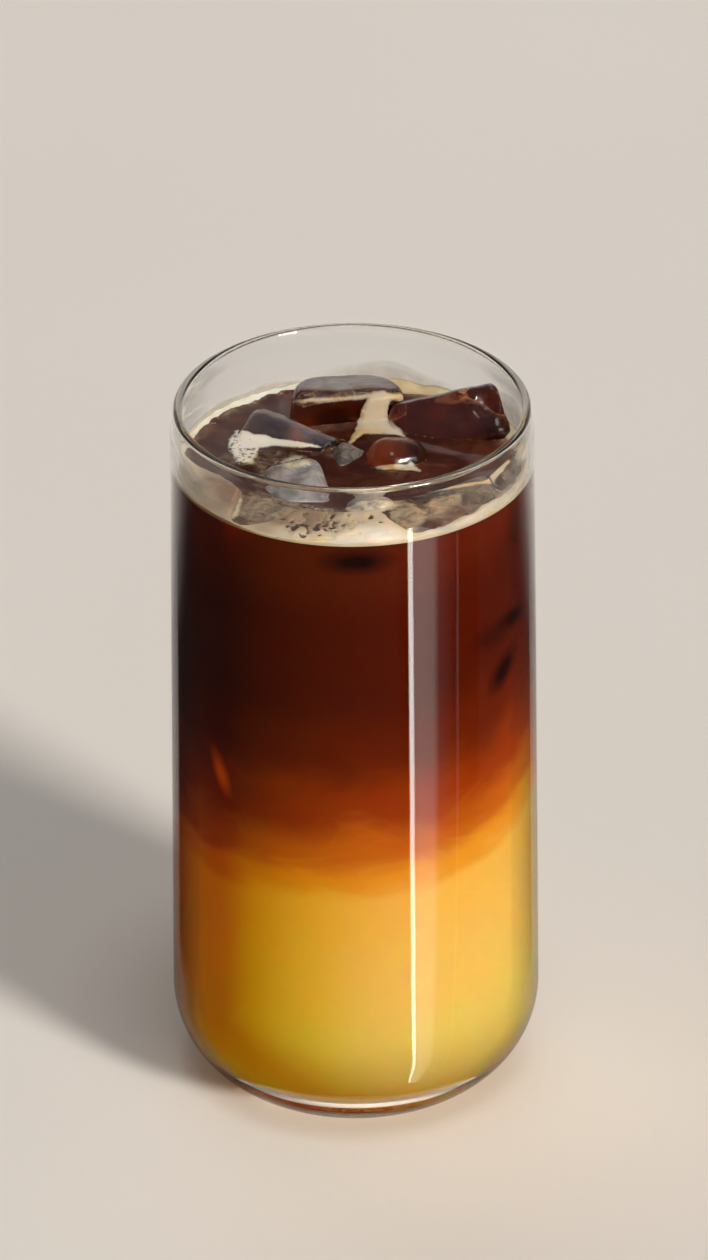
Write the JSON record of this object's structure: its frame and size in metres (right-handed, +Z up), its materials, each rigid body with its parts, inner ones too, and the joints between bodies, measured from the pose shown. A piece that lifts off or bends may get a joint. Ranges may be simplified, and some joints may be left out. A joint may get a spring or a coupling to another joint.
{
  "type": "iced orange espresso in a glass",
  "caption": "Clear round-heeled tumbler holding a layered iced drink: yellow juice below, dark coffee above, with a foam ring and ice blocks at the top.",
  "frame": {"origin": "middle of the foot, on the surface that the glass stands on", "axes": "+Z up along the glass's axis; -Y towards the viewer; +X to the viewer's right, where the layers lie a little higher"},
  "size_m": [0.0734, 0.0734, 0.1485],
  "materials": {
    "clear_glass": "clear",
    "juice": "glossy",
    "mixed": "glossy",
    "coffee": "glossy",
    "foam": "matt",
    "ice": "clear"
  },
  "bodies": {
    "root": {"glass": "clear_glass", "orange_juice": "juice", "mixed_band": "mixed", "espresso": "coffee", "crema": "foam", "crema_patch": "foam", "ice_back": "ice", "ice_right": "ice", "ice_front_left": "ice", "ice_middle": "ice", "ice_corner": "ice", "ice_left": "ice", "ice_front": "ice", "ice_front_right": "ice"}
  },
  "joints": []
}
